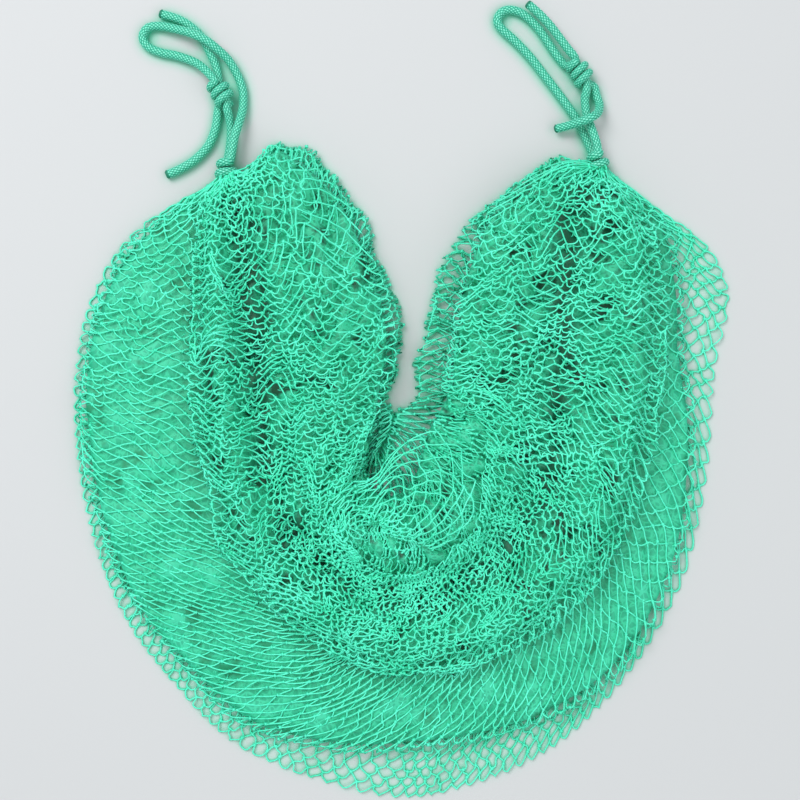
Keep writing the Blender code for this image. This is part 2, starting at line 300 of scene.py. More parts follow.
def carried_frames(points):
    """A tangent and a sideways direction at each point of a line, carried along it without twist."""
    tangents = np.gradient(points, axis=-2)
    tangents /= np.linalg.norm(tangents, axis=-1, keepdims=True) + 1e-12
    sides = np.empty_like(points)
    start = np.cross(tangents[..., 0, :], np.array((0.31, 0.27, 0.91)))
    sides[..., 0, :] = start / np.linalg.norm(start, axis=-1, keepdims=True)
    for i in range(1, points.shape[-2]):
        t = tangents[..., i, :]
        side = sides[..., i - 1, :] - t * (sides[..., i - 1, :] * t).sum(-1, keepdims=True)
        sides[..., i, :] = side / (np.linalg.norm(side, axis=-1, keepdims=True) + 1e-12)
    return tangents, sides


def mesh_object(name, vertices, groups, uv):
    """A mesh object from arrays: vertices in metres, groups of faces with like corners, and a UV map."""
    corners = np.concatenate([group.reshape(-1) for group in groups])
    sizes = np.concatenate([np.full(len(group), group.shape[1]) for group in groups])
    starts = np.concatenate(([0], np.cumsum(sizes)[:-1]))
    mesh = bpy.data.meshes.new(name)
    mesh.vertices.add(len(vertices))
    mesh.vertices.foreach_set("co", vertices.astype(np.float32).reshape(-1))
    mesh.loops.add(len(corners))
    mesh.loops.foreach_set("vertex_index", corners.astype(np.int32))
    mesh.polygons.add(len(sizes))
    mesh.polygons.foreach_set("loop_start", starts.astype(np.int32))
    mesh.polygons.foreach_set("use_smooth", np.ones(len(sizes), bool))
    mesh.update(calc_edges=True)
    layer = mesh.uv_layers.new(name="twist")
    layer.data.foreach_set("uv", uv[corners].astype(np.float32).reshape(-1))
    mesh.validate()
    piece = bpy.data.objects.new(name, mesh)
    bpy.context.scene.collection.objects.link(piece)
    return piece


def triangles_of(piece):
    """How many triangles a piece's mesh has."""
    return sum(len(face.vertices) - 2 for face in piece.data.polygons)


def build_strand(name, route, squeeze_near=None):
    """A braided strand along a route, thinner where the knot squeezes it, with its cut ends closed."""
    centre, length = even_points(route, BRAID_RING_SPACING)
    tangents, sides = carried_frames(centre)
    others = np.cross(tangents, sides)
    along = np.linspace(0.0, length, len(centre))
    around = np.arange(BRAID_SIDES) / BRAID_SIDES
    relief = braid_relief(around[None, :], along[:, None])
    relief[(0, -1), :] = 0.0
    radius = CROWN_RADIUS - BRAID_RELIEF * (1.0 - relief)
    if squeeze_near is not None:
        distance = np.linalg.norm(centre - np.array(squeeze_near), axis=1)
        radius *= (1.0 - KNOT_SQUEEZE * np.clip((KNOT_REACH - distance) / 4.0, 0.0, 1.0))[:, None]
    from_end = np.minimum(along, length - along)
    radius *= (1.0 - END_TAPER + END_TAPER * np.clip(from_end / END_LENGTH, 0.0, 1.0) ** 0.5)[:, None]
    angle = 2 * math.pi * around
    sideways, upwards = np.cos(angle)[None, :, None], np.sin(angle)[None, :, None]
    ring = sideways * sides[:, None, :] + upwards * others[:, None, :]
    vertices = ((centre[:, None, :] + radius[:, :, None] * ring) * MM).reshape(-1, 3)
    rings, count = len(centre), BRAID_SIDES
    low = (np.arange(rings - 1)[:, None] * count + np.arange(count)[None, :]).reshape(-1)
    right = (np.arange(rings - 1)[:, None] * count + (np.arange(count)[None, :] + 1) % count).reshape(-1)
    quads = np.stack([low, right, right + count, low + count], axis=1)
    ends = np.stack([np.arange(count)[::-1], (rings - 1) * count + np.arange(count)])
    uv = np.stack([np.tile(around, rings), np.repeat(along, count) * MM], axis=1)
    piece = mesh_object(name, vertices, [quads, ends], uv)
    # the crown's height, for the finish to paint a highlight on the crowns and shade in the grooves; it is 0
    # over the last DARK_END at each cut end, so the ends are coloured dark
    lit = relief * np.clip((from_end - DARK_END) / END_LENGTH, 0.0, 1.0)[:, None]
    crown = piece.data.attributes.new("crown", "FLOAT", "POINT")
    crown.data.foreach_set("value", lit.astype(np.float32).reshape(-1))
    return piece, centre, length


cord_pieces = []
for side in ("left", "right"):
    for strand, tail in (("loop", "upper_tail"), ("riser", "lower_tail")):
        route = strand_route(side, strand)
        piece, centre, length = build_strand(f"{side}_{strand}_strand", route, KNOTS[side][0])
        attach(piece, "root")
        replaced = [f"{side}_{strand}", f"{side}_{tail}"] + ([f"{side}_knot"] if strand == "loop" else [])
        replaced += [f"{side}_hitch"] if wraps_hitch(side, strand) else []
        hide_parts(*replaced)
        cord_pieces.append(piece)
        print(piece.name, "is", round(length), "mm long,", len(piece.data.polygons), "faces")

# %% [markdown]
# ## How the netting lies
#
# The netting is one sheet, laid back and forth in five layers. A cross-section starts at the sheet's free
# edge on the table, runs in to the inner edge of the horseshoe, folds back out almost to the margin, in
# again, back out to the crest, and in once more over the top. The sections follow the horseshoe round from
# one gathered end to the other. Each row of the table is one section, and the sheet is read from it at any
# place and any row of meshes, so the same few numbers place tens of thousands of strands.

# %% The folded sheet, with the part's own tables
NET_THICKNESS = 2.4
LAYER_PITCH = 3.4
LAYER_COUNT = 5
FLAT_STACK = NET_THICKNESS + (LAYER_COUNT - 1) * LAYER_PITCH
MARGIN_LIFT = 1.0
CREST_FOLD_SHARE = 0.4
SHOULDER_AT = 0.13
INNER_LIFT_SHARE = 0.4
SECTION_COLUMNS = (
    "outer_x", "outer_y", "crest_x", "crest_y", "inner_x", "inner_y",
    "margin", "crest_top", "furrow_at", "furrow_top", "ridge_at", "ridge_top",
)
SECTIONS = (
    (-104.0, 156.5, -95.5, 157.8, -86.5, 160.5, 0.10, 16, 0.40, 16, 0.70, 16),
    (-126.5, 146.0, -104.0, 146.5, -77.5, 171.0, 0.10, 22, 0.32, 18, 0.62, 24),
    (-152.5, 126.0, -108.0, 127.0, -61.0, 181.8, 0.08, 28, 0.30, 20, 0.60, 31),
    (-172.0, 94.0, -110.5, 102.0, -28.5, 152.0, 0.06, 33, 0.30, 21, 0.60, 36),
    (-180.6, 52.0, -111.5, 71.5, -7.5, 105.0, 0.05, 36, 0.30, 22, 0.60, 38),
    (-179.6, 7.5, -110.5, 38.0, -0.5, 72.5, 0.06, 37, 0.31, 22, 0.60, 38),
    (-170.5, -39.5, -106.0, 2.0, -5.0, 43.0, 0.08, 37, 0.32, 22, 0.60, 36),
    (-153.5, -82.0, -94.0, -37.0, -10.0, 21.5, 0.10, 36, 0.33, 22, 0.61, 35),
    (-129.0, -115.5, -74.0, -67.5, -15.5, 7.5, 0.13, 34, 0.35, 22, 0.62, 36),
    (-94.0, -151.0, -42.5, -92.5, -14.5, 1.5, 0.16, 32, 0.36, 23, 0.64, 38),
    (-47.5, -172.0, -12.0, -105.5, -10.0, -2.0, 0.27, 30, 0.36, 23, 0.65, 40),
    (-1.0, -182.0, 16.0, -106.5, -5.5, -1.0, 0.37, 30, 0.36, 23, 0.65, 40),
    (43.5, -173.5, 49.0, -99.5, -2.0, 5.5, 0.33, 31, 0.37, 22, 0.66, 38),
    (88.0, -151.5, 79.5, -81.5, 0.5, 14.0, 0.24, 33, 0.38, 21, 0.66, 36),
    (125.5, -114.0, 107.5, -53.5, 3.0, 24.0, 0.14, 35, 0.40, 22, 0.67, 35),
    (154.0, -66.5, 124.0, -17.5, 5.5, 35.0, 0.16, 37, 0.42, 24, 0.69, 34),
    (167.0, -17.5, 132.5, 16.0, 6.5, 46.5, 0.22, 38, 0.42, 25, 0.70, 33),
    (171.5, 24.0, 137.0, 43.5, 8.5, 61.5, 0.32, 39, 0.42, 26, 0.70, 33),
    (173.5, 56.0, 139.0, 68.5, 13.5, 79.5, 0.50, 39, 0.42, 27, 0.70, 33),
    (181.0, 93.5, 138.5, 99.0, 20.5, 105.5, 0.60, 38, 0.42, 28, 0.70, 33),
    (170.5, 121.5, 132.5, 129.5, 35.0, 133.5, 0.55, 35, 0.42, 27, 0.70, 31),
    (144.0, 142.0, 121.5, 149.0, 61.5, 155.5, 0.30, 30, 0.42, 24, 0.70, 27),
    (125.5, 157.0, 113.5, 156.5, 87.0, 172.5, 0.15, 22, 0.42, 20, 0.70, 21),
    (118.5, 162.0, 110.5, 161.5, 101.5, 163.0, 0.10, 16, 0.42, 16, 0.70, 16),
)
LAYER_ENDS = (("inner", 0.0), ("margin", 0.0), ("inner", 5.0), ("crest", -5.0), ("inner", 1.5))
LAST_SECTION = len(SECTIONS) - 1


def ease(share):
    """A soft step from 0 to 1."""
    share = np.clip(share, 0.0, 1.0)
    return share * share * (3 - 2 * share)


def section_at(place):
    """Every column of the table at the places given, with the distances in plan from the outer edge."""
    section = dict(zip(SECTION_COLUMNS, smooth_through(SECTIONS, place).T))
    section["crest"] = np.hypot(
        section["crest_x"] - section["outer_x"], section["crest_y"] - section["outer_y"])
    section["inner"] = section["crest"] + np.hypot(
        section["inner_x"] - section["crest_x"], section["inner_y"] - section["crest_y"])
    return section


def plan_point(section, reach):
    """x and y this far from the outer edge, on the smooth line over the crest to the inner edge."""
    near, whole = section["crest"], section["inner"]
    on_outer = (reach - near) * (reach - whole) / (near * whole)
    on_crest = reach * (reach - whole) / (near * (near - whole))
    on_inner = reach * (reach - near) / (whole * (whole - near))
    return [
        on_outer * section["outer_" + axis]
        + on_crest * section["crest_" + axis]
        + on_inner * section["inner_" + axis]
        for axis in "xy"
    ]


def lift_at(section, reach):
    """How far the loose pile stands above its flat stack."""
    crest, inner = section["crest"], section["inner"]
    high, furrow, ridge = (section[name] - FLAT_STACK for name in ("crest_top", "furrow_top", "ridge_top"))
    places = [0.0 * crest, section["margin"] * crest, crest]
    shares = (SHOULDER_AT, section["furrow_at"], section["ridge_at"])
    places += [crest + share * (inner - crest) for share in shares]
    places.append(inner)
    lifts = [0.0, MARGIN_LIFT, CREST_FOLD_SHARE * high, high, furrow, ridge, INNER_LIFT_SHARE * ridge]
    lift = 0.0 * crest
    for start, end, low, top in zip(places, places[1:], lifts, lifts[1:]):
        lift = lift + (top - low) * ease((reach - start) / (end - start))
    return np.maximum(lift, 0.0)


def layer_height(section, layer, reach):
    """Height of a layer's middle; 3.5 is half way between the fourth layer and the fifth."""
    return NET_THICKNESS / 2 + layer * (LAYER_PITCH + lift_at(section, reach) / (LAYER_COUNT - 1))


# %% [markdown]
# ## Rows and columns of meshes
#
# Knotted netting is made row by row: each row of twine zigzags between the knots of the row above and the
# knots of the row below. So the sheet is a chart of knots in rows and half-meshes in columns. The bars are
# about 8.5 mm from knot to knot. In the flat band the meshes lie closed, long across the band and narrow
# along it; in the heap they lie open and loose, so the heap has a chart of its own. Where the band bends
# round the notch its inner side is far shorter than its crest, and there the flat layers' columns are
# spread evenly along the inner edge.

# %% The chart of meshes
BAR = 8.5  # knot to knot along the twine
TWINE = 0.95  # diameter
MESH_ROWS = (27, 23, 23, 18, 22)  # rows of bars in each layer
JOINTS = (0, *np.cumsum(MESH_ROWS).tolist())  # the rows at which the sheet folds
FOLD_ROWS = 0.35  # half of a fold's width, in rows
HALF_MESH = {"flat": (2.7, 4.2), "heap": (2.8, 3.3)}  # column spacing along the crest, left and right part
RIGHT_PART = (400, 500)  # along the crest, where the left part's spacing turns into the right part's
HALF_MESH_GATHERED = 5.0  # the same at the gathered ends
GATHER_LENGTH = 18.0
CLOSE_ROWS = 7  # rows along the free edge that lie closer together, in rounder meshes
CLOSE_ROW_SPACING = 5.0
ROW_SPACING = 8.0
DRIFT_WAVES = 14  # waves added together in a soft random drift

crest_places = np.linspace(0, LAST_SECTION, 2000)


def run_along(line):
    """Length from the start of a line to each of its points."""
    return np.concatenate(([0.0], np.cumsum(np.linalg.norm(np.diff(line, axis=0), axis=1))))


crest_run = run_along(smooth_through(SECTIONS, crest_places)[:, 2:4])
inner_run = run_along(smooth_through(SECTIONS, crest_places)[:, 4:6])
CREST_LENGTH = crest_run[-1]
even_inside = np.interp(crest_run / CREST_LENGTH, inner_run / inner_run[-1], crest_run)


def columns_along(half_mesh):
    """The column at each point of the crest; columns are further apart towards the gathered ends."""
    from_end = np.minimum(crest_run, CREST_LENGTH - crest_run)
    spacing = np.interp(crest_run, RIGHT_PART, half_mesh)
    spacing = spacing + (HALF_MESH_GATHERED - spacing) * np.exp(-from_end / GATHER_LENGTH)
    columns = np.concatenate(([0.0], np.cumsum(np.diff(crest_run) * 2 / (spacing[1:] + spacing[:-1]))))
    return columns * int(columns[-1]) / columns[-1]


COLUMNS = {name: columns_along(half_mesh) for name, half_mesh in HALF_MESH.items()}
print("rows of bars:", JOINTS[-1], "columns:", {name: round(at[-1]) for name, at in COLUMNS.items()})
print("the crest is", round(CREST_LENGTH), "mm long and the inner edge", round(inner_run[-1]), "mm")


def drift(seed, along, across, shortest, longest):
    """Soft random waves over the sheet, mostly between -1.5 and 1.5, of lengths between these two."""
    random = np.random.default_rng(seed)
    total = np.zeros(np.broadcast(along, across).shape)
    for _ in range(DRIFT_WAVES):
        wavelength = shortest * (longest / shortest) ** random.random()
        angle, phase = random.random(2) * 2 * math.pi
        run = along * math.cos(angle) + across * math.sin(angle)
        total += np.sin(2 * math.pi * run / wavelength + phase)
    return total / math.sqrt(DRIFT_WAVES / 2)


def rows_to_share(layer, row):
    """Share of the way across a layer at a row of the chart; the free edge's rows lie closer."""
    low = JOINTS[layer] + (FOLD_ROWS if layer else 0.0)
    high = JOINTS[layer + 1] - (FOLD_ROWS if layer < LAYER_COUNT - 1 else 0.0)
    if layer:
        return (row - low) / (high - low)
    close = CLOSE_ROWS * CLOSE_ROW_SPACING
    return np.interp(row, (0, CLOSE_ROWS, high), (0, close / (close + (high - CLOSE_ROWS) * ROW_SPACING), 1))


# Where the two lowest layers show past the others, and how far.
BARE_PLACES = (6.5, 8.0, 9.0, 12.5, 14.0, 15.0, 16.0, 19.5, 21.0)
BARE_WIDTH = (2.0, 4.0, 6.0, 6.0, 4.0, 8.0, 14.0, 9.0, 2.0)
# Where they lie out over the notch's foot, and how far.
FOOT_PLACES = (6.1, 6.7, 7.5, 9.0, 12.5, 13.5, 14.6, 15.1)
FOOT_REACH = (0.0, 5.0, 7.5, 9.5, 8.5, 6.5, 5.5, 0.0)
# Where the top layer stops short of the notch, and how far.
SHORT_PLACES = (6.3, 7.8, 9.2, 12.5, 14.6, 15.8)
SHORT_WIDTH = (0.0, 16.0, 44.0, 46.0, 30.0, 0.0)


def uneven_edge(layer, section, along, place):
    """How far a layer's fold or free edge lies back from its even line, in millimetres."""
    wave = 1.1 * drift(40 + layer, along, 0.0, 25, 90) * np.clip(section["inner"] / 120, 0, 1)
    if layer == 0:
        return wave - np.interp(place, FOOT_PLACES, FOOT_REACH)
    if layer == 2:
        return wave + np.interp(place, BARE_PLACES, BARE_WIDTH)
    if layer == 4:
        return wave + np.interp(place, BARE_PLACES, BARE_WIDTH) + np.interp(place, SHORT_PLACES, SHORT_WIDTH)
    return wave


def reach_and_height(section, place, row, along):
    """Distance in plan from the outer edge, and height, at a row of the chart."""
    named = {"inner": section["inner"], "crest": section["crest"]}
    named["margin"] = section["margin"] * section["crest"]
    reach, height = np.zeros(len(place)), np.zeros(len(place))
    start = np.zeros(len(place))
    for layer, (name, inset) in enumerate(LAYER_ENDS):
        inward = 1 if name == "inner" else -1
        end = named[name] - inward * (inset + uneven_edge(layer, section, along, place))
        if layer < LAYER_COUNT - 1:
            end = end - inward * (LAYER_PITCH + lift_at(section, end) / (LAYER_COUNT - 1)) / 2
        share = rows_to_share(layer, row)
        here = (row >= JOINTS[layer] - 1e-9) & (row <= JOINTS[layer + 1] + 1e-9)
        reach = np.where(here, start + (end - start) * np.clip(share, 0, 1), reach)
        height = np.where(here, layer_height(section, layer, reach), height)
        if layer < LAYER_COUNT - 1:
            low, high = layer_height(section, layer, end), layer_height(section, layer + 1, end)
            folds = (end, inward, low, (high - low) / 2)
            angle = np.clip((row - JOINTS[layer + 1]) / FOLD_ROWS, -1, 1) * math.pi / 2
            turning = (np.abs(row - JOINTS[layer + 1]) < FOLD_ROWS)
            reach, height = turn_fold(reach, height, turning, angle, folds)
        start = end
    return reach, height


def turn_fold(reach, height, turning, angle, fold):
    """The points that lie in a fold moved onto its half circle."""
    end, inward, low, radius = fold
    reach = np.where(turning, end + inward * radius * np.cos(angle), reach)
    return reach, np.where(turning, low + radius * (1 + np.sin(angle)), height)


# %% [markdown]
# ## The lie of loose twine
#
# Netting that is thrown down is never even. Whole patches of meshes slide together or apart, so soft random
# waves move the chart over the folds, more in the heaped part than in the flat one. At the ends the sheet
# is drawn together into the cord's hitch. The bars themselves are longer than the gap between their knots,
# so each one bows to one side. Most bow the way that the net was pulled as it was laid down, towards the
# rounded bottom of the horseshoe; the bows at a fold or an edge turn outward and make its row of round
# loops.

# %% Where each knot and each point of twine lies
LOOSE_ROWS = (0, 4, JOINTS[1], JOINTS[2], JOINTS[2] + 10, JOINTS[3] - 8, JOINTS[3], JOINTS[5] - 3, JOINTS[5])
LOOSE = (0.25, 0.4, 0.8, 0.45, 0.4, 0.7, 0.8, 0.85, 0.7)
BOW = (1.3, 1.5, 2.4, 1.2, 1.2, 1.9, 1.9, 1.9, 2.0)  # the most that a bar bows, in millimetres
SLANT_ROWS = (0, JOINTS[2], JOINTS[2] + 12, JOINTS[3], JOINTS[4], JOINTS[5])
SLANT = (0.0, -0.4, 0.6, 0.4, -0.2, 0.45)  # how far rows have slid along the band, as a share of SLIDE
SLIDE_RUNS = (0, 35, 60, 90, 123, 160, 230, 330, 420, 520, 700)  # along the crest
SLIDE = (0, 5, 14, 37, 54, 76, 80, 40, 10, -20, -10)
# How far the loosest netting drifts: along the band, in rows across it, and up or down.
DRIFT_ALONG, DRIFT_ROWS, DRIFT_UP = 2.6, 0.3, 1.2
NECK_LENGTH = 9.0  # the ends are drawn in to the hitches over this length
NECK_SHARE = 0.6
KNOT_SHAKE = 0.28  # how unevenly single knots sit
EDGE_BOW = 0.85  # the outward bow of the loops along an edge or a fold, as a share of the slack


def sheet_lie(chart):
    """A function that gives x, y, z in millimetres at a column and a row of this chart."""
    def lie(column, row):
        shape = column.shape
        column, row = column.reshape(-1), row.reshape(-1)
        along = np.interp(column, COLUMNS[chart], crest_run)
        across = row * ROW_SPACING
        from_end = np.minimum(along, CREST_LENGTH - along)
        loose = np.interp(row, LOOSE_ROWS, LOOSE) * (0.6 + 0.4 * ease(from_end / 40))
        slide = np.interp(row, SLANT_ROWS, SLANT) * np.interp(along, SLIDE_RUNS, SLIDE) * ease(from_end / 70)
        slid = along + slide + loose * DRIFT_ALONG * drift(1, along, across, 26, 100)
        off_edges = ease(row / 3) * ease((JOINTS[-1] - row) / 2)
        moved = row + loose * DRIFT_ROWS * drift(2, along, across, 26, 90) * off_edges
        moved = np.clip(moved, 0, JOINTS[-1])
        place = np.interp(slid, crest_run, crest_places)
        if chart == "flat":
            section = section_at(place)
            reach, _ = reach_and_height(section, place, moved, along)
            inside = ease((reach - section["crest"]) / (section["inner"] - section["crest"]))
            slid = slid + inside * (np.interp(slid, crest_run, even_inside) - slid)
            place = np.interp(slid, crest_run, crest_places)
        section = section_at(place)
        reach, height = reach_and_height(section, place, moved, along)
        points = np.stack([*plan_point(section, reach), height], axis=-1)
        points[:, 2] += loose * DRIFT_UP * drift(3, along, across, 18, 60)
        for near, neck in ((along, HITCHES["left"][0]), (CREST_LENGTH - along, HITCHES["right"][0])):
            drawn = 1 - NECK_SHARE * ease(1 - near / NECK_LENGTH)
            points = np.array(neck) + (points - np.array(neck)) * drawn[:, None]
        points[:, 2] = np.maximum(points[:, 2], TWINE)
        return points.reshape(*shape, 3)
    return lie


def unit(vectors):
    """The same directions with a length of 1."""
    return vectors / (np.linalg.norm(vectors, axis=-1, keepdims=True) + 1e-12)


def bar_lines(lie, columns, rows, steps, edges, taut):
    """Centre lines of the rows of bars with `steps` points a bar, the normals along them, and the knots."""
    first, last = rows
    rows = np.arange(first, last)[:, None]
    column = np.arange(columns * steps + 1)[None, :] / steps
    swing = 1 - np.abs(1 - (column + rows) % 2)
    row = rows + swing
    column = np.broadcast_to(column, row.shape)
    base = lie(column, row)
    above = np.minimum(row + 0.15, max(edges))
    normal = unit(np.cross(lie(column + 0.3, row) - base, lie(column, above) - base))
    knot_row = np.round(row[:, ::steps]).astype(int)
    random = np.random.default_rng(1000)
    shake = random.normal(0.0, KNOT_SHAKE * (1 - taut), (max(edges) + 1, columns + 2, 3))
    shift = shake[knot_row, np.arange(columns + 1)[None, :]]
    shift = shift * np.interp(knot_row, LOOSE_ROWS, LOOSE)[..., None]
    knots = base[:, ::steps] + shift
    share = (np.arange(steps) / steps)[None, None, :, None]
    moved = shift[:, :-1, None] * (1 - share) + shift[:, 1:, None] * share
    points = base + np.concatenate([moved.reshape(len(rows), -1, 3), shift[:, -1:]], axis=1)
    chord = knots[:, 1:] - knots[:, :-1]
    span = np.linalg.norm(chord, axis=-1)
    middle = slice(steps // 2, None, steps)
    along, across = knots[:, :-1, 0] + knots[:, :-1, 1], knots[:, :-1, 0] - knots[:, :-1, 1]
    slack = np.sqrt(3 * span * np.clip(BAR - span, 0.05, None) / 8)
    slack = np.minimum(slack, (1 - taut) * np.interp(row[:, middle], LOOSE_ROWS, BOW))
    outward = unit(np.cross(normal[:, middle], chord))
    # whole patches bow one way, a few bars the other, and most towards the bottom of the horseshoe
    patch, single = drift(5, along, across, 40, 160), drift(6, along, across, 12, 28)
    side = np.tanh(patch + 0.4 * single - 1.8 * outward[..., 1])
    for edge in edges:
        # the loops of an edge or a fold all bow outward, whichever side of it their row is on
        if edge > first:
            side = np.where(rows == edge - 1, EDGE_BOW, side)
        if edge < last:
            side = np.where(rows == edge, -EDGE_BOW, side)
    tip = 0.6 * drift(7, along, across, 22, 70)
    wave = 0.3 * drift(8, along, across, 11, 22)
    bow = outward * np.cos(tip)[..., None] + normal[:, middle] * np.sin(tip)[..., None]
    bow *= (slack * side)[..., None]
    ess = outward * (slack * wave)[..., None]
    bent = bow[:, :, None] * (4 * share * (1 - share)) + ess[:, :, None] * np.sin(2 * math.pi * share)
    points[:, :-1] += bent.reshape(len(rows), -1, 3)
    points[..., 2] = np.maximum(points[..., 2], TWINE / 2 + 0.15)
    return points, normal, knots, knot_row


# %% [markdown]
# ## Twine and knots
#
# Each row of bars is one continuous twine, so it is one tube from end to end, mitred at its knots. The
# sheet bend that ties it to the row before is a small lump a little over twice the twine's width, turned
# any way round.

# %% A piece of netting: tubes of twine and a knot at each crossing
KNOT_RADIUS = 1.2
KNOT_CORNERS = np.array([(1, 0, 0), (0, 1, 0), (-1, 0, 0), (0, -1, 0), (0, 0, 0.8), (0, 0, -0.8)], float)
KNOT_FACES = np.array([
    (0, 1, 4), (1, 2, 4), (2, 3, 4), (3, 0, 4), (1, 0, 5), (2, 1, 5), (3, 2, 5), (0, 3, 5),
])


def twine_tubes(points, normal, steps, sides):
    """Vertices, side faces, end caps and UV of one closed tube along each row of points."""
    rows, count = points.shape[:2]
    tangent = unit(np.gradient(points, axis=1))
    side = unit(np.cross(tangent, normal))
    lift = np.cross(side, tangent)
    straight = np.zeros_like(points)
    straight[:, :-1] = unit(points[:, 1:] - points[:, :-1])
    straight[:, -1] = straight[:, -2]
    mitre = 1 / np.clip(np.abs((straight * tangent).sum(-1)), 0.45, 1.0)
    angle = 2 * math.pi * (np.arange(sides) + 0.5) / sides
    radius = TWINE / 2 * (1.12 if sides == 3 else 1.0)
    ring = (np.cos(angle)[None, None, :, None] * (side * mitre[..., None])[:, :, None]
            + np.sin(angle)[None, None, :, None] * lift[:, :, None])
    vertices = (points[:, :, None] + radius * ring).reshape(-1, 3)
    start = (np.arange(rows)[:, None, None] * count + np.arange(count - 1)[None, :, None]) * sides
    here = start + np.arange(sides)[None, None, :]
    beside = start + (np.arange(sides)[None, None, :] + 1) % sides
    quads = np.stack([here, here + sides, beside + sides, beside], axis=-1).reshape(-1, 4)
    row_start = np.arange(rows)[:, None] * count * sides
    caps = np.concatenate([
        row_start + np.arange(sides)[None, :],
        row_start + (count - 1) * sides + np.arange(sides)[None, ::-1],
    ])
    run = np.arange(count) / steps * BAR * MM
    uv = np.stack(np.broadcast_arrays((np.arange(sides) / sides)[None, None, :], run[None, :, None]), axis=-1)
    return vertices, quads, caps, np.broadcast_to(uv, (rows, count, sides, 2)).reshape(-1, 2)


def knot_lumps(centres, seed, first_vertex):
    """Vertices and faces of a small lump at each centre."""
    random = np.random.default_rng(seed)
    size = KNOT_RADIUS * random.uniform(0.85, 1.2, (len(centres), 1, 1))
    turn = random.uniform(0, math.pi, len(centres))[:, None]
    spun = np.stack([
        KNOT_CORNERS[None, :, 0] * np.cos(turn) - KNOT_CORNERS[None, :, 1] * np.sin(turn),
        KNOT_CORNERS[None, :, 0] * np.sin(turn) + KNOT_CORNERS[None, :, 1] * np.cos(turn),
        np.broadcast_to(KNOT_CORNERS[None, :, 2], (len(centres), len(KNOT_CORNERS))),
    ], axis=-1)
    starts = first_vertex + len(KNOT_CORNERS) * np.arange(len(centres))[:, None, None]
    return (centres[:, None] + size * spun).reshape(-1, 3), (starts + KNOT_FACES[None]).reshape(-1, 3)


def build_netting(name, lie, columns, rows, steps, sides, edges=JOINTS, taut=0.0):
    """The bars between two rows of the chart as closed tubes, and a small lump for each of their knots."""
    first, last = rows
    points, normal, knots, knot_row = bar_lines(lie, columns, rows, steps, edges, taut)
    vertices, quads, caps, uv = twine_tubes(points, normal, steps, sides)
    # every knot is met by two rows of bars; the lower corner of each row of bars makes it
    own = (knot_row == np.arange(first, last)[:, None]) & (knot_row > 0)
    own[:, (0, -1)] = False
    lumps, lump_faces = knot_lumps(knots[own], first, len(vertices))
    vertices = np.concatenate([vertices, lumps])
    vertices[:, 2] = np.maximum(vertices[:, 2], 0.1)
    uv = np.concatenate([uv, np.zeros((len(lumps), 2))])
    piece = mesh_object(name, vertices * MM, [quads, caps, lump_faces], uv)
    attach(piece, "root")
    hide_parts("net")
    return piece


NETTING = (
    # name, chart, first row, last row, points a bar, sides of a tube
    ("net_free_edge", "flat", 0, 8, 5, 4),
    ("net_bottom_layer", "flat", 8, JOINTS[1] - 1, 2, 3),
    ("net_inner_fold", "flat", JOINTS[1] - 1, JOINTS[1] + 1, 6, 4),
    ("net_second_layer", "flat", JOINTS[1] + 1, JOINTS[2] - 1, 2, 3),
    ("net_band", "flat", JOINTS[2] - 1, JOINTS[2] + 13, 5, 4),
    ("net_under_pile", "flat", JOINTS[2] + 13, JOINTS[3], 2, 3),
    ("net_pile_lower", "heap", JOINTS[3], JOINTS[4], 4, 3),
    ("net_pile_crest", "heap", JOINTS[4], JOINTS[4] + 11, 5, 4),
    ("net_pile_top", "heap", JOINTS[4] + 11, JOINTS[5], 5, 4),
)
netting = [
    build_netting(name, sheet_lie(chart), round(COLUMNS[chart][-1]), (first, last), steps, sides)
    for name, chart, first, last, steps, sides in NETTING
]

# %% [markdown]
# ## The fold over the foot of the notch
#
# Where the horseshoe bends round the foot of its notch, a loose fold of the netting lies over the heap. Its
# meshes are drawn out round the hump there, so their bars run round it side by side. It lies on the heap's
# own surface, so the height of that surface is looked up at each of its points.

# %% The loose fold round the hump
HUMP = (-14.5, -30.0)
HUMP_TURN_ROWS = (0, 9.5, 20)
HUMP_TURN = (212.0, 60.0, -22.0)  # degrees at these rows, from its left end to its right end
HUMP_ANGLES = (-22, 5, 25, 45, 60, 72, 84, 100, 212)
HUMP_REACHES = (34, 50, 60, 64, 58, 46, 31, 27, 30)
HUMP_HOLLOW = 4.0  # no twine nearer to the middle than this
HUMP_ROWS = 20
HUMP_COLUMNS = 14
HUMP_LIFT = 1.4  # above the heap's top layer
HUMP_TUCK = 4.0  # how far its ends and its inner edge go down into the heap
NEAREST = 6  # known points of the heap that a height is blended from

grid_place, grid_share = np.meshgrid(np.linspace(0, LAST_SECTION, 140), np.linspace(-0.1, 1.0, 60))
grid_place, grid_share = grid_place.reshape(-1), grid_share.reshape(-1)
grid_section = section_at(grid_place)
grid_reach = grid_section["crest"] + grid_share * (grid_section["inner"] - grid_section["crest"])
grid_height = layer_height(grid_section, LAYER_COUNT - 1, grid_reach)
heap_points = np.stack([*plan_point(grid_section, grid_reach), grid_height], axis=-1)
heap_tree = KDTree(len(heap_points))
for index, point in enumerate(heap_points):
    heap_tree.insert((point[0], point[1], 0.0), index)
heap_tree.balance()


def heap_height(x, y):
    """Height of the heap's top layer under each point, blended from the nearest of its known points."""
    heights = np.empty(len(x))
    for i, spot in enumerate(zip(x, y)):
        found = heap_tree.find_n((*spot, 0.0), NEAREST)
        nearness = [1.0 / (distance + 0.3) for _, _, distance in found]
        near_heights = [heap_points[index][2] for _, index, _ in found]
        heights[i] = np.average(near_heights, weights=nearness)
    return heights


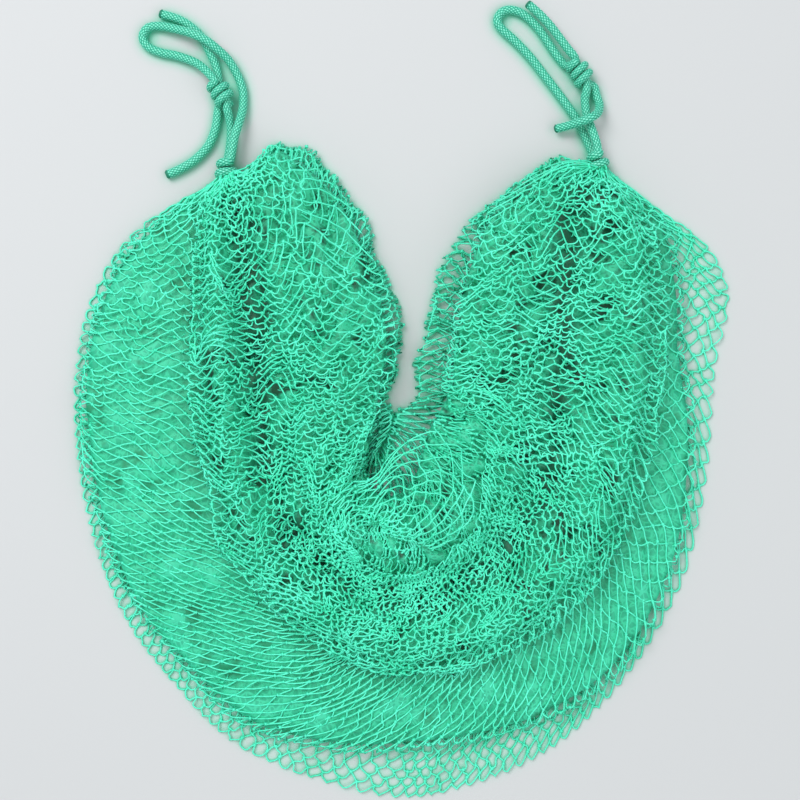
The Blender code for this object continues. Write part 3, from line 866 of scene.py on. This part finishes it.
def hump_lie(column, row):
    """x, y, z in millimetres at a column, counted outwards, and a row, counted round the hump."""
    shape = column.shape
    column, row = column.reshape(-1), row.reshape(-1)
    turn = np.interp(row, HUMP_TURN_ROWS, HUMP_TURN) + 2.0 * drift(31, column * 3, row * 8, 20, 60)
    reach = np.interp(turn, HUMP_ANGLES, HUMP_REACHES)
    out = column / HUMP_COLUMNS
    radius = HUMP_HOLLOW + (reach - HUMP_HOLLOW) * (out + 0.03 * drift(32, column * 3, row * 8, 20, 50))
    x = HUMP[0] + radius * np.cos(np.radians(turn))
    y = HUMP[1] + radius * np.sin(np.radians(turn))
    tucked = ease(1 - np.minimum(row, HUMP_ROWS - row) / 3) + ease((0.16 - out) / 0.16)
    z = heap_height(x, y) + HUMP_LIFT + 0.9 * drift(33, x, y, 16, 40) - HUMP_TUCK * np.minimum(tucked, 1.0)
    return np.stack([x, y, z], axis=-1).reshape(*shape, 3)


netting.append(build_netting("net_hump_fold", hump_lie, HUMP_COLUMNS, (0, HUMP_ROWS), 6, 4,
                             edges=(0, HUMP_ROWS), taut=0.5))

# %% [markdown]
# ## The folds inside
#
# Between the layers that show lie more loose folds, too crumpled to follow. They close the view through the
# netting, so that its meshes show green and not the table. Each is a thin, uneven sheet in the hollow
# between two layers, and its finish draws the strands with painted light and shade. The one in the heap is
# rougher, so the layer under it shows in places. Along the furrow down the middle of the heap, and along the
# foot of the heap on the band, the finish paints shade.
# How deep a point lies in either is stored on the mesh, and the finish paints it that much darker.

# %% Two thin sheets for the folds inside
INSIDE_ALONG, INSIDE_ACROSS = 180, 44
INSIDE_THICKNESS = 0.8
INSIDE_END = 16.0  # how far the sheets stop short of the gathered ends
INSIDE_BACK = 6.0  # and of the inner edge
INSIDE_LOWEST = 2.2  # they lie clear of the table
HOLLOW_WANDER = 3.0  # how far a long hollow strays from its line
INSIDE = (
    # name, height in layers, reach of its outer edge past the crest, bumps near the crest and beyond it,
    # the strength of the painted shade along the long hollow, and half of its width
    ("net_folds_in_band", 1.5, None, 0.8, 1.6, 0.6, 6.0),
    ("net_folds_in_heap", 2.75, 5.0, 1.6, 2.6, 0.95, 8.0),
)


def build_inner_folds(name, level, past_crest, low_bumps, high_bumps, shade, half_width):
    """A sheet at a height between two layers, from the margin's fold or the crest to near the inner edge."""
    along = np.linspace(INSIDE_END, CREST_LENGTH - INSIDE_END, INSIDE_ALONG)
    place = np.interp(along, crest_run, crest_places)
    section = section_at(place)
    edge = section["margin"] * section["crest"] + 5.0 if past_crest is None else section["crest"] + past_crest
    back = INSIDE_BACK + np.interp(place, BARE_PLACES, BARE_WIDTH)
    furrow = section["furrow_at"] * (section["inner"] - section["crest"])
    hollow = section["crest"] + (-4.0 if past_crest is None else furrow)
    points, painted_shade_mask = [], []
    for share in np.linspace(0, 1, INSIDE_ACROSS):
        reach = edge + (section["inner"] - back - edge) * share
        # painted shade along the long hollow: strongest on its line, fading over half its width
        off = (reach - hollow - HOLLOW_WANDER * drift(70, along, reach, 20, 60)) / half_width
        painted_shade_mask.append(shade * np.exp(-off ** 2))
        x, y = plan_point(section, reach)
        bumps = low_bumps + (high_bumps - low_bumps) * ease((reach - section["crest"]) / 20)
        z = layer_height(section, level, reach) + bumps * drift(60 + int(level), along, reach, 10, 36)
        points.append(np.stack([x, y, np.maximum(z, INSIDE_LOWEST)], axis=-1))
    points = np.stack(points)
    corner = np.arange(INSIDE_ACROSS - 1)[:, None] * INSIDE_ALONG + np.arange(INSIDE_ALONG - 1)[None, :]
    corner = corner.reshape(-1)
    quads = np.stack([corner, corner + INSIDE_ALONG, corner + INSIDE_ALONG + 1, corner + 1], axis=-1)
    across = np.linspace(0, 0.18, INSIDE_ACROSS)
    uv = np.stack(np.broadcast_arrays(along[None, :] * MM, across[:, None]), axis=-1)
    piece = mesh_object(name, points.reshape(-1, 3) * MM, [quads], uv.reshape(-1, 2))
    stored = piece.data.attributes.new("hollow", "FLOAT", "POINT")
    stored.data.foreach_set("value", np.stack(painted_shade_mask).astype(np.float32).reshape(-1))
    thickness = piece.modifiers.new("thickness", "SOLIDIFY")
    thickness.thickness = INSIDE_THICKNESS * MM
    thickness.offset = 0.0
    bpy.ops.object.select_all(action="DESELECT")
    piece.select_set(True)
    bpy.context.view_layer.objects.active = piece
    bpy.ops.object.modifier_apply(modifier=thickness.name)
    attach(piece, "root")
    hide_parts("net")
    return piece


inner_folds = [build_inner_folds(*row) for row in INSIDE]
print("triangles in all:", sum(triangles_of(piece) for piece in netting + inner_folds + cord_pieces))

# %% [markdown]
# ## Twisted polyethylene twine
#
# The twine is twisted from smooth plastic filaments. Close to, it shows a fine rope of ridges, so its
# finish has a shallow bump that winds round it once every 2.2 mm. The plastic is dyed right through, a
# clear mint green; batches and handling leave some lengths slightly paler than others.

# %% Finish of the twine
TWIST_PITCH = 2.2 * MM


def twine_finish():
    """Twisted polyethylene: bright mint, satin, with the ridges of its twist."""
    material, tree, shader = new_material("twisted polyethylene twine")
    place = add_node(tree, "ShaderNodeTexCoord")
    # paler and deeper lengths, about 20 mm across, so that no two meshes look quite alike
    patches = add_node(tree, "ShaderNodeTexNoise", inputs={"Scale": 50.0, "Detail": 3.0},
                       Vector=place.outputs["Object"])
    colour = add_node(tree, "ShaderNodeValToRGB", Fac=patches.outputs["Fac"])
    colour.color_ramp.elements[0].position, colour.color_ramp.elements[1].position = 0.3, 0.7
    colour.color_ramp.elements[0].color = linear("#3FE4B8")
    colour.color_ramp.elements[1].color = linear("#5CF8D4")
    tree.links.new(colour.outputs["Color"], shader.inputs["Base Color"])
    # two filaments twisted together: ridges that wind round the twine
    around_and_along = add_node(tree, "ShaderNodeUVMap", settings={"uv_map": "twist"})
    parts = add_node(tree, "ShaderNodeSeparateXYZ", Vector=around_and_along.outputs["UV"])
    along = add_node(tree, "ShaderNodeMath", settings={"operation": "MULTIPLY"})
    along.inputs[1].default_value = 2 * math.pi / TWIST_PITCH
    tree.links.new(parts.outputs["Y"], along.inputs[0])
    winding = add_node(tree, "ShaderNodeMath", settings={"operation": "MULTIPLY_ADD"})
    winding.inputs[1].default_value = 4 * math.pi
    tree.links.new(parts.outputs["X"], winding.inputs[0])
    tree.links.new(along.outputs["Value"], winding.inputs[2])
    ridges = add_node(tree, "ShaderNodeMath", settings={"operation": "SINE"})
    tree.links.new(winding.outputs["Value"], ridges.inputs[0])
    bump = add_node(tree, "ShaderNodeBump", inputs={"Strength": 0.35, "Distance": 0.1 * MM},
                    Height=ridges.outputs["Value"])
    tree.links.new(bump.outputs["Normal"], shader.inputs["Normal"])
    # wear takes the shine off some lengths
    wear = add_node(tree, "ShaderNodeMapRange", Value=patches.outputs["Fac"])
    wear.inputs["To Min"].default_value, wear.inputs["To Max"].default_value = 0.34, 0.52
    tree.links.new(wear.outputs["Result"], shader.inputs["Roughness"])
    return material


# %% [markdown]
# ## Crumpled netting in shade
#
# What shows between the meshes is more of the same netting, further in and out of focus to the eye. Its
# finish paints its light and shade: a soft mid-green of painted shade, paler flecks where a strand catches
# light as a painted highlight, and patches of painted deep green shade, most of all in the heap. Two sizes of
# cells whose edges are the strands, and a slow noise for the painted deep shade, give just that.

# %% Finish of the folds inside
def inner_finish(name, shade, strand, hollow, painted_shade_share):
    """Crumpled netting seen between meshes, with painted shade: its shade, the colour of its flecks, its deep
    shade and how much of it is deep shade.
    """
    material, tree, shader = new_material(name)
    place = add_node(tree, "ShaderNodeTexCoord")
    stirred = add_node(tree, "ShaderNodeTexNoise", inputs={"Scale": 90.0, "Detail": 2.0},
                       Vector=place.outputs["Object"])
    bent = add_node(tree, "ShaderNodeVectorMath", settings={"operation": "MULTIPLY_ADD"})
    bent.inputs[1].default_value = (4 * MM, 4 * MM, 4 * MM)
    tree.links.new(stirred.outputs["Color"], bent.inputs[0])
    tree.links.new(place.outputs["Object"], bent.inputs[2])
    # two nets over each other, with meshes about 6 and 4 mm across; their edges are the strands
    edges = {"feature": "DISTANCE_TO_EDGE"}
    wide = add_node(tree, "ShaderNodeTexVoronoi", settings=edges, inputs={"Scale": 160.0},
                    Vector=bent.outputs["Vector"])
    close = add_node(tree, "ShaderNodeTexVoronoi", settings=edges, inputs={"Scale": 250.0},
                     Vector=bent.outputs["Vector"])
    nearest = add_node(tree, "ShaderNodeMath", settings={"operation": "MINIMUM"})
    tree.links.new(wide.outputs["Distance"], nearest.inputs[0])
    tree.links.new(close.outputs["Distance"], nearest.inputs[1])
    # painted light and shade: strands pale as if catching light, the netting between them in painted shade
    colour = add_node(tree, "ShaderNodeValToRGB", Fac=nearest.outputs["Value"])
    colour.color_ramp.elements[0].position, colour.color_ramp.elements[1].position = 0.04, 0.11
    colour.color_ramp.elements[0].color = linear(strand)
    colour.color_ramp.elements[1].color = linear(shade)
    # patches of painted deeper shade, joined with the painted shade along the long hollow
    depth = add_node(tree, "ShaderNodeTexNoise", inputs={"Scale": 75.0, "Detail": 3.0},
                     Vector=place.outputs["Object"])
    painted_shade_mask = add_node(tree, "ShaderNodeMapRange", Value=depth.outputs["Fac"])
    painted_shade_mask.inputs["From Min"].default_value = 1.0 - painted_shade_share
    painted_shade_mask.inputs["From Max"].default_value = 1.0 - painted_shade_share + 0.1
    painted_hollow_shade = add_node(tree, "ShaderNodeAttribute", settings={"attribute_name": "hollow"})
    deeper = add_node(tree, "ShaderNodeMath", settings={"operation": "MAXIMUM"})
    tree.links.new(painted_shade_mask.outputs["Result"], deeper.inputs[0])
    tree.links.new(painted_hollow_shade.outputs["Fac"], deeper.inputs[1])
    mix = add_node(tree, "ShaderNodeMixRGB", inputs={"Color2": linear(hollow)}, Fac=deeper.outputs["Value"],
                   Color1=colour.outputs["Color"])
    tree.links.new(mix.outputs["Color"], shader.inputs["Base Color"])
    bump = add_node(tree, "ShaderNodeBump", inputs={"Strength": 0.4, "Distance": 0.6 * MM},
                    Height=nearest.outputs["Value"])
    tree.links.new(bump.outputs["Normal"], shader.inputs["Normal"])
    shader.inputs["Roughness"].default_value = 0.6
    return material


# %% [markdown]
# ## Braided polyethylene cord
#
# The cord is braided from flat bundles of the same green plastic. Its colour is painted pale on each
# bundle's crown, a painted highlight, and deep green in the grooves between, painted shade; the crowns are
# also shinier, polished by handling. The last short length at each cut end is coloured dark like the
# grooves. The crown's height is stored on the mesh, so the painted light and shade and the shine follow the
# real relief.

# %% Finish of the cord
def cord_finish():
    """Braided polyethylene: a painted highlight on the crowns over painted deep green shade in the grooves.
    """
    material, tree, shader = new_material("braided polyethylene cord")
    crown = add_node(tree, "ShaderNodeAttribute", settings={"attribute_name": "crown"})
    # painted light and shade: the crown's height runs from deep green grooves of painted shade to pale crowns
    # of painted highlight
    colour = add_node(tree, "ShaderNodeValToRGB", Fac=crown.outputs["Fac"])
    colour.color_ramp.elements[0].position, colour.color_ramp.elements[1].position = 0.12, 0.95
    colour.color_ramp.elements[0].color = linear("#137A60")
    colour.color_ramp.elements[1].color = linear("#A2FAE6")
    middle = colour.color_ramp.elements.new(0.42)
    middle.color = linear("#34C4A0")
    tree.links.new(colour.outputs["Color"], shader.inputs["Base Color"])
    shine = add_node(tree, "ShaderNodeMapRange", Value=crown.outputs["Fac"])
    shine.inputs["To Min"].default_value, shine.inputs["To Max"].default_value = 0.7, 0.36
    tree.links.new(shine.outputs["Result"], shader.inputs["Roughness"])
    # the fine filaments of a bundle
    place = add_node(tree, "ShaderNodeTexCoord")
    filaments = add_node(tree, "ShaderNodeTexNoise", inputs={"Scale": 2500.0, "Detail": 2.0},
                         Vector=place.outputs["Object"])
    bump = add_node(tree, "ShaderNodeBump", inputs={"Strength": 0.2, "Distance": 0.1 * MM},
                    Height=filaments.outputs["Fac"])
    tree.links.new(bump.outputs["Normal"], shader.inputs["Normal"])
    return material


# %% Each piece gets its finish
twine = twine_finish()
for piece in netting:
    piece.data.materials.append(twine)
# each in painted shade: its shade, its paler flecks, its painted deep shade and how much of it is deep shade
band_shade = inner_finish("crumpled netting in shade", "#26AE88", "#38C99F", "#1C9068", 0.42)
heap_shade = inner_finish("crumpled netting in deep shade", "#22A47D", "#39CBA0", "#064B33", 0.45)
inner_folds[0].data.materials.append(band_shade)
inner_folds[1].data.materials.append(heap_shade)
cord = cord_finish()
for piece in cord_pieces:
    piece.data.materials.append(cord)
print("finishes:", [material.name for material in bpy.data.materials])
